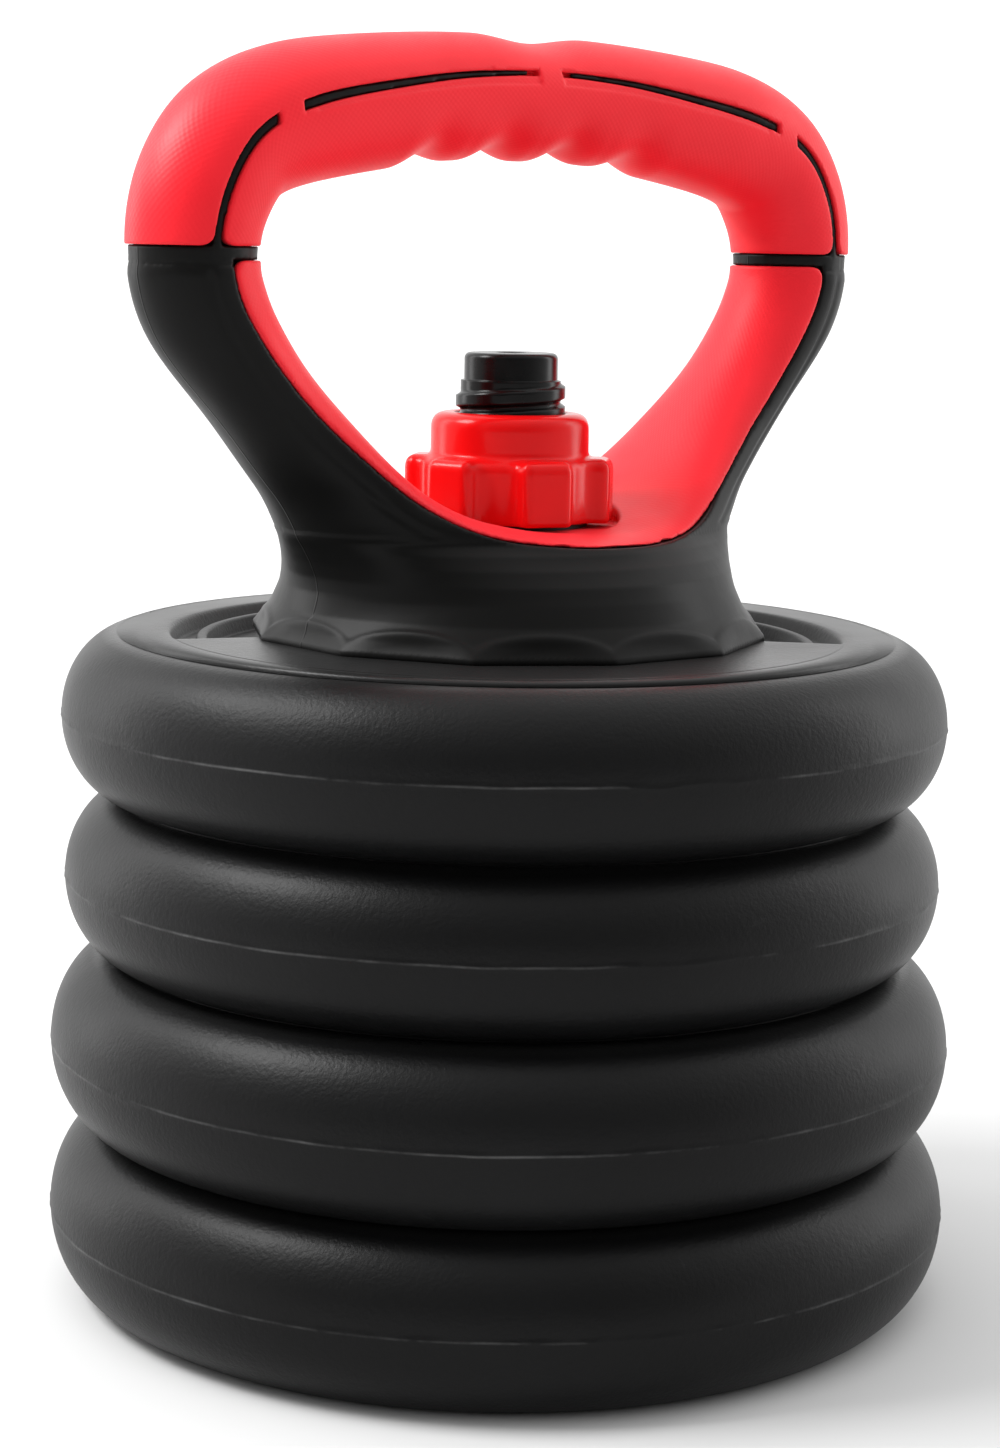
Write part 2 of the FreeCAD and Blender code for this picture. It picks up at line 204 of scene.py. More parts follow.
class Loop:
    """Closed middle line of the handle in the XZ plane, with its section sizes."""

    SPACING = 1.0
    SEED_STEP = 0.5

    def __init__(self):
        rows = closed_rows()
        dense = self.resample(self.rounded(rows))
        self.line = dense[:, :2]
        self.sizes = dense[:, 2:]
        ahead = np.roll(self.line, -1, axis=0) - np.roll(self.line, 1, axis=0)
        self.tangent = ahead / np.linalg.norm(ahead, axis=1)[:, None]
        self.step = np.linalg.norm(self.line[1] - self.line[0])
        self.make_seeds()

    @staticmethod
    def rounded(rows):
        """Catmull-Rom curve through the rows, 24 points to a span."""
        before, after = np.roll(rows, 1, axis=0), np.roll(rows, -1, axis=0)
        beyond = np.roll(rows, -2, axis=0)
        spans = []
        for t in np.arange(24) / 24.0:
            spans.append(0.5 * (2 * rows + (after - before) * t
                                + (2 * before - 5 * rows + 4 * after - beyond) * t ** 2
                                + (3 * rows - before - 3 * after + beyond) * t ** 3))
        return np.stack(spans, axis=1).reshape(-1, rows.shape[1])

    def resample(self, points):
        """Even spacing along the line, then a light smoothing of every value."""
        closed = np.vstack([points, points[:1]])
        lengths = np.linalg.norm(np.diff(closed[:, :2], axis=0), axis=1)
        run = np.concatenate([[0.0], np.cumsum(lengths)])
        count = int(run[-1] / self.SPACING)
        at = np.arange(count) * run[-1] / count
        columns = [np.interp(at, run, closed[:, k]) for k in range(points.shape[1])]
        even = np.stack(columns, axis=1)
        kernel = np.exp(-0.5 * (np.arange(-9, 10) / 3.0) ** 2)
        kernel /= kernel.sum()
        return sum(w * np.roll(even, k, axis=0) for k, w in zip(range(-9, 10), kernel))

    def make_seeds(self):
        """For a grid over the XZ plane, the number of the nearest point of the line."""
        self.low = np.array([-135.0, 160.0])
        xs = np.arange(self.low[0], 135.0, self.SEED_STEP)
        zs = np.arange(self.low[1], 335.0, self.SEED_STEP)
        self.seeds = np.empty((len(xs), len(zs)), dtype=np.int32)
        for i, x in enumerate(xs):
            away = (x - self.line[:, 0]) ** 2 + (zs[:, None] - self.line[:, 1]) ** 2
            self.seeds[i] = np.argmin(away, axis=1)

    def pick(self, values, place):
        """Values along the line at fractional places."""
        count = len(self.line)
        first = np.floor(place).astype(int)
        part = (place - first)[..., None]
        return values[first % count] * (1 - part) + values[(first + 1) % count] * part

    def along(self, x, z):
        """Place along the line and depth towards the window, for points of the XZ plane."""
        i = np.rint((x - self.low[0]) / self.SEED_STEP).astype(int)
        k = np.rint((z - self.low[1]) / self.SEED_STEP).astype(int)
        i = np.clip(i, 0, self.seeds.shape[0] - 1)
        k = np.clip(k, 0, self.seeds.shape[1] - 1)
        place = self.seeds[i, k].astype(float)
        for _ in range(3):
            on_line = self.pick(self.line, place)
            tangent = self.pick(self.tangent, place)
            gap_x, gap_z = x - on_line[..., 0], z - on_line[..., 1]
            ahead = (gap_x * tangent[..., 0] + gap_z * tangent[..., 1]) / self.step
            place = place + np.clip(ahead, -2, 2)
        return place, gap_z * tangent[..., 0] - gap_x * tangent[..., 1]

    def coordinates(self, x, z):
        """Depth towards the window, and the section sizes, for points of the XZ plane."""
        place, depth = self.along(x, z)
        sizes = self.pick(self.sizes, place)
        return depth, sizes[..., 0], sizes[..., 1], sizes[..., 2]


LOOP = Loop()


def oval(depth, width, inward, outward, half_width):
    """Distance-like field of a section made of two half ellipses."""
    reach = np.where(depth > 0, inward, outward)
    ratio = np.sqrt((depth / reach) ** 2 + (width / half_width) ** 2) + 1e-6
    slope = np.sqrt((depth / reach ** 2) ** 2 + (width / half_width ** 2) ** 2) + 1e-6
    return (ratio - 1.0) * ratio / slope


def bar(x, y, z, inset):
    """The whole loop's bar, its surface moved inward by inset."""
    depth, inward, outward, half_width = LOOP.coordinates(x, z)
    return oval(depth, y, inward, outward, half_width) + inset, depth, inward, half_width


def stripe_drift(x):
    """Depth of the stripe's middle: further out at the top of the grip than at the bands."""
    share = np.abs(x) / LEG_REACH
    return -STRIPE_DRIFT_TOP - share * (STRIPE_DRIFT_BAND - STRIPE_DRIFT_TOP)


def stripe(x, depth, margin=0.0):
    """Negative inside the stripe's channel, which the bridges interrupt.

    Near the middle of the grip a ledge of the skin covers the channel's lower part.
    """
    drift = stripe_drift(x)
    cover = STRIPE_COVER * np.clip((70.0 - np.abs(x)) / 60.0, 0.0, 1.0)
    low_edge = depth - drift - STRIPE_HALF_WIDTH + cover
    field = np.maximum(low_edge, drift - depth - STRIPE_HALF_WIDTH) + margin
    for place, half_width in BRIDGES:
        field = np.maximum(field, half_width - np.abs(x - place) + margin)
    return field


def ledge(x, depth):
    """Negative over the shallow ledge below the stripe, which has the channel's full width."""
    drift = stripe_drift(x)
    low_edge = depth - drift - STRIPE_HALF_WIDTH - LEDGE_EXTRA
    field = np.maximum(low_edge, drift - depth - STRIPE_HALF_WIDTH)
    for place, half_width in BRIDGES:
        field = np.maximum(field, half_width - np.abs(x - place))
    return np.maximum(field, np.abs(x) - LEDGE_REACH)


def neck(x, y, z):
    """Skirt and neck: ovals whose size changes with height, with scallops at the rim."""
    rows = np.array(NECK)
    half_x = np.interp(z, rows[:, 0], rows[:, 1])
    half_y = np.interp(z, rows[:, 0], rows[:, 2])
    field = oval(x, y, half_x, half_x, half_y)
    field = soft_max(field, z - rows[-1, 0] + 1.0, 4.0)
    pitch = 2 * math.pi / SCALLOPS
    turn = np.arctan2(y, x)
    across = np.hypot(x, y) * (turn - pitch * np.rint(turn / pitch))
    inward, round_about, upward = SCALLOP_RADII
    gap = np.sqrt(((field - inward + SCALLOP_DEPTH) / inward) ** 2 + (across / round_about) ** 2
                  + ((z - rows[0, 0]) / upward) ** 2)
    field = field - SCALLOP_LIP * bump(gap - 1.06, 0.1)
    return soft_max(field, (1.0 - gap) * upward, 1.0)


def panel_region(depth, y, inward, half_width):
    """Negative on the window side of the bar, where the soft saddle panel lies."""
    return np.abs(y) * inward / half_width * math.sin(PANEL_ANGLE) - depth * math.cos(PANEL_ANGLE)


def casing_field(x, y, z):
    field, depth, inward, half_width = bar(x, y, z, 0.0)
    low = field + CASING_STEP * np.clip((z - 262.0) / 4.0, 0.0, 1.0)
    beside_panel = bump(depth + 4.6, 1.7) * np.clip((COLLAR_LINE - z) / 3.0, 0.0, 1.0)
    low = low + 0.55 * beside_panel * (z > 200.0) + 0.28 * bump(z - COLLAR_LINE, 0.7)
    low = low + 0.25 * np.clip((-4.6 - depth) / 1.5, 0.0, 1.0) * (z > 200.0)
    low = soft_min(low, neck(x, y, z), NECK_BLEND)
    panel = np.maximum(panel_region(depth, y, inward, half_width) - 0.25, -field - PANEL_THICKNESS)
    panel = np.maximum(panel, z - BAND_LOW)
    low = soft_max(low, -panel, 0.3)
    low = soft_max(low, z - BAND_HIGH + 0.1, 0.3)
    rib = np.maximum(stripe(x, depth, 0.15), field + STRIPE_RECESS)
    core = np.minimum(field + SKIN_THICKNESS + 0.2, rib)
    core = np.maximum(core, BAND_HIGH - 1.5 - z)
    whole = soft_min(low, core, 0.3)
    whole = soft_max(whole, NECK[0][0] - z, 0.8)
    whole = soft_max(whole, BORE_RADIUS - np.hypot(x, y), 0.4)
    seat = np.maximum(np.hypot(x, y) - SEAT_RADIUS - CUP_WALL - 0.1, SEAT_Z - CUP_FLOOR - 0.2 - z)
    return soft_max(whole, -np.maximum(seat, z - SEAT_CUT_TOP), 0.4)


def skin_field(x, y, z):
    depth, inward, outward, half_width = LOOP.coordinates(x, z)
    hollow = sum(size * bump(x - place, GROOVE_HALF_WIDTH) for place, size in GROOVES)
    dip = THUMB_DIP[1] * bump(x - THUMB_DIP[0], THUMB_DIP[2])
    field = oval(depth, y, inward - hollow, outward - dip, half_width)
    inner = oval(depth, y, inward, outward, half_width) + SKIN_THICKNESS
    channel = np.maximum(stripe(x, depth), -inner - 0.6)
    field = soft_max(field, -np.maximum(ledge(x, depth), -field - STRIPE_LEDGE), 0.4)
    removed = soft_min(channel, z - BAND_HIGH, 3.6)
    field = soft_max(field, -removed, 0.5)
    return soft_max(field, -np.maximum(inner + 1.2, -(z - BAND_HIGH) - 5.0), 0.3)


def saddle_field(x, y, z):
    field, depth, inward, half_width = bar(x, y, z, 0.0)
    layer = soft_max(field - PANEL_PROUD, -field - PANEL_THICKNESS + 0.1, 0.5)
    outline = soft_max(panel_region(depth, y, inward, half_width), z - BAND_LOW + 0.15, 4.0)
    out = np.hypot(x, y)
    cup = np.maximum(out - SEAT_RADIUS - CUP_WALL, SEAT_Z - CUP_FLOOR - z)
    cup = np.maximum(cup, field - PANEL_PROUD)
    layer = soft_max(np.minimum(layer, cup), outline, 0.6)
    layer = soft_max(layer, -np.maximum(out - SEAT_RADIUS, SEAT_Z - z), 0.8)
    return soft_max(layer, BORE_RADIUS - out, 0.4)


def nut_field(x, y, z):
    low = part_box("star_nut")[0][2] / MM
    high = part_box("star_nut")[1][2] / MM
    out = np.hypot(x, y)
    pitch = 2 * math.pi / LOBES
    turn = np.arctan2(y, x) - LOBE_PHASE
    turn = turn - pitch * np.rint(turn / pitch)
    along, across = out * np.cos(turn), np.abs(out * np.sin(turn))
    over_x = np.maximum(along - LOBE_REACH + LOBE_CORNER, 0.0)
    over_y = np.maximum(across - LOBE_HALF_WIDTH + LOBE_CORNER, 0.0)
    block = np.hypot(over_x, over_y) - LOBE_CORNER
    body = soft_min(block, out - VALLEY_RADIUS, 3.2)
    body = soft_max(body, z - LOBE_TOP, 3.4)
    body = soft_min(body, soft_max(out - COLLAR_RADIUS, z - high, 4.2), 1.4)
    body = soft_max(body, low - z, 1.0)
    return soft_max(body, NUT_BORE - out, 1.0)


# ---------------------------------------------------------------- meshing a field

CORNERS = np.array([(i, j, k) for i in (0, 1) for j in (0, 1) for k in (0, 1)])
CELL_EDGES = [(a, b) for a in range(8) for b in range(a + 1, 8)
              if np.abs(CORNERS[a] - CORNERS[b]).sum() == 1]


def grid_values(field, low, high, step):
    """Field on a regular grid, worked out one layer of X at a time."""
    axes = [np.arange(low[k], high[k] + step, step) for k in range(3)]
    values = np.empty([len(a) for a in axes], dtype=np.float32)
    y, z = np.meshgrid(axes[1], axes[2], indexing="ij")
    for i, x in enumerate(axes[0]):
        values[i] = field(np.full_like(y, x), y, z)
    return values


def surface_net(values, low, step):
    """One vertex in each cell that the surface crosses, and one quad per crossed edge."""
    inside = values < 0
    crossed = np.zeros(np.array(values.shape) - 1, dtype=np.int8)
    nx, ny, nz = crossed.shape
    for i, j, k in CORNERS:
        crossed += inside[i:i + nx, j:j + ny, k:k + nz]
    cells = np.argwhere((crossed > 0) & (crossed < 8))
    numbers = np.full(crossed.shape, -1, dtype=np.int32)
    numbers[tuple(cells.T)] = np.arange(len(cells))
    corner_values = np.stack([values[tuple((cells + c).T)] for c in CORNERS], axis=1)
    total = np.zeros((len(cells), 3))
    hits = np.zeros(len(cells))
    for a, b in CELL_EDGES:
        va, vb = corner_values[:, a], corner_values[:, b]
        hit = (va < 0) != (vb < 0)
        part = np.where(hit, va / np.where(hit, va - vb, 1.0), 0.0)
        total += hit[:, None] * (CORNERS[a] + part[:, None] * (CORNERS[b] - CORNERS[a]))
        hits += hit
    points = np.array(low) + step * (cells + total / hits[:, None])
    quads = []
    for axis in range(3):
        one, two = [k for k in range(3) if k != axis]
        ahead = np.take(inside, range(1, values.shape[axis]), axis=axis)
        here = np.take(inside, range(values.shape[axis] - 1), axis=axis)
        edges = np.argwhere(ahead != here)
        keep = (edges[:, one] > 0) & (edges[:, two] > 0)
        keep &= (edges[:, one] < crossed.shape[one]) & (edges[:, two] < crossed.shape[two])
        edges = edges[keep]
        ring = []
        for back_one, back_two in ((1, 1), (0, 1), (0, 0), (1, 0)):
            cell = edges.copy()
            cell[:, one] -= back_one
            cell[:, two] -= back_two
            ring.append(numbers[tuple(cell.T)])
        faces = np.stack(ring, axis=1)
        outward = here[tuple(edges.T)]
        if axis == 1:
            outward = ~outward
        faces[~outward] = faces[~outward][:, ::-1]
        quads.append(faces)
    return points, np.concatenate(quads)


def settle(field, points, rounds, limit):
    """Newton steps that bring the points onto the field's zero surface."""
    nudge = 0.05
    for _ in range(rounds):
        x, y, z = points.T
        value = field(x, y, z)
        slope = np.stack([field(x + nudge, y, z) - field(x - nudge, y, z),
                          field(x, y + nudge, z) - field(x, y - nudge, z),
                          field(x, y, z + nudge) - field(x, y, z - nudge)], axis=1) / (2 * nudge)
        steepness = np.maximum((slope ** 2).sum(axis=1), 0.05)
        move = slope * (value / steepness)[:, None]
        length = np.linalg.norm(move, axis=1)
        move *= np.minimum(1.0, limit / np.maximum(length, 1e-9))[:, None]
        points = points - move
    return points


def relax(points, quads):
    """Each point goes halfway to the middle of its neighbours."""
    total = np.zeros_like(points)
    count = np.zeros(len(points))
    for k in range(4):
        a, b = quads[:, k], quads[:, (k + 1) % 4]
        for one, other in ((a, b), (b, a)):
            np.add.at(total, one, points[other])
            np.add.at(count, one, 1)
    return 0.5 * points + 0.5 * total / count[:, None]


def mesh_object(name, points, faces):
    mesh = bpy.data.meshes.new(name)
    mesh.from_pydata(points.tolist(), [], faces.tolist())
    mesh.validate()
    mesh.update()
    mesh.shade_smooth()
    piece = bpy.data.objects.new(name, mesh)
    bpy.context.scene.collection.objects.link(piece)
    return piece


def field_piece(name, field, low, high, step, grained=False):
    """Mesh object of a field given in millimetres."""
    step = step * COARSE
    points, quads = surface_net(grid_values(field, low, high, step), low, step)
    points = settle(field, points, 2, step)
    for _ in range(2):
        points = settle(field, relax(points, quads), 1, 0.5 * step)
    piece = mesh_object(name, points * MM, quads)
    if grained:
        add_grain_map(piece, points)
    return piece


def add_grain_map(piece, points):
    """UV map in metres: run along the loop, and turn round its section."""
    place, depth = LOOP.along(points[:, 0], points[:, 2])
    run = place * LOOP.step
    turn = np.arctan2(points[:, 1], -depth)
    corners = np.empty(len(piece.data.loops), dtype=np.int32)
    piece.data.loops.foreach_get("vertex_index", corners)
    starts = np.empty(len(piece.data.polygons), dtype=np.int32)
    piece.data.polygons.foreach_get("loop_start", starts)
    first = np.zeros(len(corners), dtype=np.int32)
    first[starts] = 1
    first = starts[np.cumsum(first) - 1]
    whole = LOOP.step * len(LOOP.line)
    u, v = run[corners], turn[corners]
    u = u - whole * np.rint((u - u[first]) / whole)
    v = v - 2 * math.pi * np.rint((v - v[first]) / (2 * math.pi))
    grain = piece.data.uv_layers.new(name="grain")
    grain.data.foreach_set("uv", np.stack([u * MM, v * GRAIN_RADIUS * MM], axis=1).ravel())


# ---------------------------------------------------------------- turned pieces

def rounded_profile(corners, steps=5):
    """(radius, height) outline from corners (r, z, fillet), with arcs at the fillets."""
    points = []
    count = len(corners)
    for number, (r, z, fillet) in enumerate(corners):
        here = np.array([r, z], dtype=float)
        if fillet == 0 or number in (0, count - 1):
            points.append(here)
            continue
        back = np.array(corners[number - 1][:2]) - here
        ahead = np.array(corners[number + 1][:2]) - here
        back_length, ahead_length = np.linalg.norm(back), np.linalg.norm(ahead)
        back, ahead = back / back_length, ahead / ahead_length
        half_turn = 0.5 * math.acos(np.clip(back @ ahead, -1, 1))
        cut = min(fillet / math.tan(half_turn), 0.48 * back_length, 0.48 * ahead_length)
        radius = cut * math.tan(half_turn)
        centre = here + (back + ahead) / np.linalg.norm(back + ahead) * radius / math.sin(half_turn)
        first, last = here + back * cut - centre, here + ahead * cut - centre
        turn = math.acos(np.clip(first @ last / radius ** 2, -1, 1))
        for step in range(steps + 1):
            part = step / steps
            mixed = math.sin((1 - part) * turn) * first + math.sin(part * turn) * last
            points.append(centre + mixed / math.sin(turn))
    return np.array(points)


def lathe(name, profile, segments, wobble=None):
    """Closed body of revolution from a closed (radius, height) outline in millimetres."""
    count = len(profile)
    turn = 2 * math.pi * np.arange(segments) / segments
    radius = np.repeat(profile[:, 0][:, None], segments, axis=1)
    height = np.repeat(profile[:, 1][:, None], segments, axis=1)
    if wobble is not None:
        radius, height = wobble(radius, height, turn[None, :])
    points = np.stack([radius * np.cos(turn), radius * np.sin(turn), height], axis=-1)
    index = np.arange(count * segments).reshape(count, segments)
    across = np.roll(index, -1, axis=1)
    down, down_across = np.roll(index, -1, axis=0), np.roll(across, -1, axis=0)
    faces = np.stack([index, across, down_across, down], axis=-1).reshape(-1, 4)
    return mesh_object(name, points.reshape(-1, 3) * MM, faces[:, ::-1])


def plate_outline(radius, low, high):
    """Closed outline of a plate, from the bore over the top face and round the side."""
    half = 0.5 * (high - low)
    middle = 0.5 * (high + low)
    upper = [
        (15.0, half - 8.0, 1.0), (36.0, half - 8.0, 0.8), (36.0, half - 0.9, 0.8),
        (58.0, half - 0.9, 1.2), (59.6, half - 5.2, 1.0), (76.0, half - 5.2, 0.8),
        (77.2, half - 1.3, 0.9), (79.4, half - 1.3, 0.9), (80.6, half - 4.2, 1.0),
        (84.8, half - 4.2, 1.0), (86.7, half, 1.6), (100.0, half, 0.0),
    ]
    face = rounded_profile([(15.0, 0.0, 0.0)] + upper)
    turn = math.pi * (0.5 - np.arange(1, 2 * SIDE_STEPS) / (2 * SIDE_STEPS))
    side = np.stack([radius - SIDE_DEPTH + SIDE_DEPTH * np.cos(turn), half * np.sin(turn)], axis=1)
    extra = np.array([(radius, 0.7), (radius + 0.14, 0.22), (radius + 0.14, -0.22), (radius, -0.7)])
    upper_side, lower_side = side[side[:, 1] > 1.0], side[side[:, 1] < -1.0]
    side = np.vstack([upper_side, extra, lower_side])
    under = face[::-1][:-1] * np.array([1, -1])
    outline = np.vstack([face, side, under])
    outline[:, 1] += middle
    return outline


def plate_wobble(seed, middle, half):
    """Slight unevenness of a moulded shell and its seam; a flat web crosses the face's rings."""
    rng = np.random.default_rng(seed)
    phases = rng.uniform(0, 2 * math.pi, 12)

    def wobble(radius, height, turn):
        slow = sum(math.cos(p) * np.cos((k + 2) * turn + p) / (k + 2)
                   for k, p in enumerate(phases[:5]))
        side = np.clip((radius - 95.0) / 15.0, 0.0, 1.0)
        radius = radius + 0.16 * side * slow
        near_seam = np.exp(-((height - middle) / 1.6) ** 2) * side
        ragged = sum(np.cos((9 + 5 * k) * turn + p) for k, p in enumerate(phases[5:]))
        height = height + near_seam * (0.10 * ragged + 0.25 * slow)
        flash = sum(np.cos((17 + 11 * k) * turn + 2 * p) for k, p in enumerate(phases[5:]))
        on_seam = np.exp(-((height - middle) / 0.5) ** 2) * side
        radius = radius + on_seam * 0.05 * np.clip(flash, -2.0, 3.0)
        level = middle + np.sign(height - middle) * half
        from_web = np.abs(np.mod(turn - WEB_TURN + math.pi, 2 * math.pi) - math.pi) - WEB_HALF_TURN
        ringed = (radius > WEB_INNER) & (radius < WEB_OUTER)
        web = np.clip(0.5 - from_web / WEB_EDGE, 0.0, 1.0) * ringed
        height = height + web * (level - height)
        return radius, height
    return wobble


def make_plate(number):
    node = "plate_%d_shell" % number
    low, high = (np.array(corner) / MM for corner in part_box(node))
    radius = 0.5 * (high[0] - low[0])
    outline = plate_outline(radius, low[2], high[2])
    wobble = plate_wobble(number, 0.5 * (low[2] + high[2]), 0.5 * (high[2] - low[2]))
    shell = lathe("plate_%d_skin" % number, outline, PLATE_SEGMENTS, wobble)
    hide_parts(node)
    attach(shell, "base" if number == 1 else "plate_%d" % number)
    return shell


def make_rod():
    """Rod with a right-handed thread, a plain tip and a flange at its foot."""
    low, high = (np.array(corner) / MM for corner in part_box("threaded_rod"))
    shoulder = high[2] - TIP_LENGTH
    top, foot = high[2] + TIP_EXTRA, low[2]
    thread_high = shoulder - THREAD_RUNOUT
    heights = np.arange(20.0, shoulder - 0.4, THREAD_STEP * COARSE)
    turn = 2 * math.pi * np.arange(ROD_SEGMENTS) / ROD_SEGMENTS
    share = np.mod(turn - THREAD_END, 2 * math.pi) / (2 * math.pi) - 1.0
    phase = (heights[:, None] - thread_high) / THREAD_PITCH - share[None, :]
    from_crest = np.abs(phase - np.rint(phase)) * THREAD_PITCH
    crest = thread_high + THREAD_PITCH * (np.rint(phase) + share[None, :])
    ridge = np.clip((THREAD_HALF_FOOT - from_crest) / THREAD_FLANK, 0.0, 1.0)
    ridge = ridge * ridge * (3 - 2 * ridge)
    there = (crest > THREAD_LOW) & (np.rint(phase) <= 0)
    radius = CORE_RADIUS + (CREST_RADIUS - CORE_RADIUS) * ridge * there
    foot_outline = rounded_profile([
        (0.0, foot, 0), (FLANGE_RADIUS, foot, 1.0), (FLANGE_RADIUS, FLANGE_TOP, 0.8),
        (13.6, FLANGE_TOP, 0), (CORE_RADIUS, 9.0, 0)])
    tip_outline = rounded_profile([
        (CORE_RADIUS, shoulder - 0.3, 0.0), (CORE_RADIUS, shoulder, 0.25),
        (TIP_RADIUS, shoulder + 0.1, 0.3), (TIP_RADIUS, top, 1.5), (4.0, top, 0.2),
        (3.6, top - 0.25, 0.2), (0.0, top - 0.25, 0)])
    rings = [(np.full(ROD_SEGMENTS, r), z) for r, z in foot_outline]
    rings += [(radius[k], z) for k, z in enumerate(heights)]
    rings += [(np.full(ROD_SEGMENTS, r), z) for r, z in tip_outline[1:]]
    points = np.array([[(r * math.cos(a), r * math.sin(a), z) for r, a in zip(ring, turn)]
                       for ring, z in rings])
    index = np.arange(len(rings) * ROD_SEGMENTS).reshape(len(rings), ROD_SEGMENTS)
    across = np.roll(index, -1, axis=1)
    faces = np.stack([index[:-1], across[:-1], across[1:], index[1:]], axis=-1).reshape(-1, 4)
    rod = mesh_object("rod_with_thread", points.reshape(-1, 3) * MM, faces)
    weld(rod)
    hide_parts("threaded_rod")
    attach(rod, "base")
    return rod


def weld(piece):
    """Merge points that lie on each other, as at a lathe's poles."""
    work = bmesh.new()
    work.from_mesh(piece.data)
    bmesh.ops.remove_doubles(work, verts=work.verts, dist=1e-6)
    bmesh.ops.dissolve_degenerate(work, edges=work.edges, dist=1e-7)
    work.to_mesh(piece.data)
    work.free()


def make_handle():
    casing = field_piece("casing_moulding", casing_field,
                         (-116.0, -70.0, 168.5), (116.0, 70.0, 324.0), 0.75)
    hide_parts("handle_casing")
    skin = field_piece("grip_rubber", skin_field,
                       (-115.0, -19.0, 266.0), (115.0, 19.0, 325.0), 0.6, True)
    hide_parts("grip_skin")
    saddle = field_piece("saddle_rubber", saddle_field,
                         (-100.0, -50.0, 190.0), (100.0, 50.0, 268.0), 0.7, True)
    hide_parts("saddle_panel")
    for piece in (casing, skin, saddle):
        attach(piece, "handle")
    return casing, skin, saddle


def make_nut():
    nut = field_piece("star_nut_moulding", nut_field,
                      (-29.0, -29.0, 198.0), (29.0, 29.0, 230.0), 0.5)
    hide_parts("star_nut")
    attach(nut, "nut")
    return nut


# ---------------------------------------------------------------- materials

class Surface:
    """A node material: a Principled shader and short ways to feed it."""

    def __init__(self, name, **values):
        self.material = bpy.data.materials.new(name)
        self.material.use_nodes = True
        self.nodes = self.material.node_tree.nodes
        self.links = self.material.node_tree.links
        self.shader = self.nodes["Principled BSDF"]
        for socket, value in values.items():
            self.shader.inputs[socket.replace("_", " ")].default_value = value
        self.place = self.nodes.new("ShaderNodeTexCoord").outputs["Object"]
        self.height = None

    def link(self, source, target):
        self.links.new(source, target)
        return target.node

    def noise(self, scale, detail=4.0, roughness=0.55, distortion=0.0):
        node = self.nodes.new("ShaderNodeTexNoise")
        node.inputs["Scale"].default_value = scale
        node.inputs["Detail"].default_value = detail
        node.inputs["Roughness"].default_value = roughness
        node.inputs["Distortion"].default_value = distortion
        self.link(self.place, node.inputs["Vector"])
        return node.outputs["Fac"]

    def cells(self, scale):
        node = self.nodes.new("ShaderNodeTexVoronoi")
        node.inputs["Scale"].default_value = scale
        self.link(self.place, node.inputs["Vector"])
        return node.outputs["Distance"]

    def dots(self, pitch):
        """Rows of small rounded dots over the grain map."""
        split = self.nodes.new("ShaderNodeSeparateXYZ")
        grain = self.nodes.new("ShaderNodeUVMap")
        grain.uv_map = "grain"
        self.link(grain.outputs["UV"], split.inputs["Vector"])
        waves = []
        for axis in ("X", "Y"):
            turns = self.math("MULTIPLY", split.outputs[axis], 2 * math.pi / pitch)
            waves.append(self.math("COSINE", turns, 0.0))
        return self.math("MULTIPLY", waves[0], waves[1])

    def ramp(self, source, stops, colour=False):
        """Colour ramp through (place, value) stops; values are grey or RGB."""
        node = self.nodes.new("ShaderNodeValToRGB")
        ramp = node.color_ramp
        while len(ramp.elements) < len(stops):
            ramp.elements.new(0.5)
        for element, (place, value) in zip(ramp.elements, stops):
            element.position = place
            element.color = (*value, 1.0) if colour else (value, value, value, 1.0)
        self.link(source, node.inputs["Fac"])
        return node.outputs["Color"]

    def math(self, operation, one, other):
        node = self.nodes.new("ShaderNodeMath")
        node.operation = operation
        for socket, value in zip(node.inputs, (one, other)):
            if isinstance(value, (int, float)):
                socket.default_value = value
            else:
                self.link(value, socket)
        return node.outputs["Value"]

    def axis(self, name):
        node = self.nodes.new("ShaderNodeSeparateXYZ")
        self.link(self.place, node.inputs["Vector"])
        return node.outputs[name]

    def relief(self, source, strength, distance):
        """One more layer of bump on the shader's normal."""
        node = self.nodes.new("ShaderNodeBump")
        node.inputs["Strength"].default_value = strength
        node.inputs["Distance"].default_value = distance
        self.link(source, node.inputs["Height"])
        if self.height is not None:
            self.link(self.height, node.inputs["Normal"])
        self.height = node.outputs["Normal"]
        self.link(self.height, self.shader.inputs["Normal"])

    def feed(self, socket, source):
        self.link(source, self.shader.inputs[socket])


# Mix sockets of the RGBA kind share their names with the float ones, so they are found by type
def colour_mix_sockets(node):
    inputs = [s for s in node.inputs if s.type == "RGBA"]
    factor = next(s for s in node.inputs if s.type == "VALUE")
    output = next(s for s in node.outputs if s.type == "RGBA")
    return factor, inputs[0], inputs[1], output


def mix_colours(surface, factor, one, other):
    node = surface.nodes.new("ShaderNodeMix")
    node.data_type = "RGBA"
    factor_socket, first, second, output = colour_mix_sockets(node)
    surface.link(factor, factor_socket)
    for socket, value in ((first, one), (second, other)):
        if isinstance(value, tuple):
            socket.default_value = (*value, 1.0)
        else:
            surface.link(value, socket)
    return output


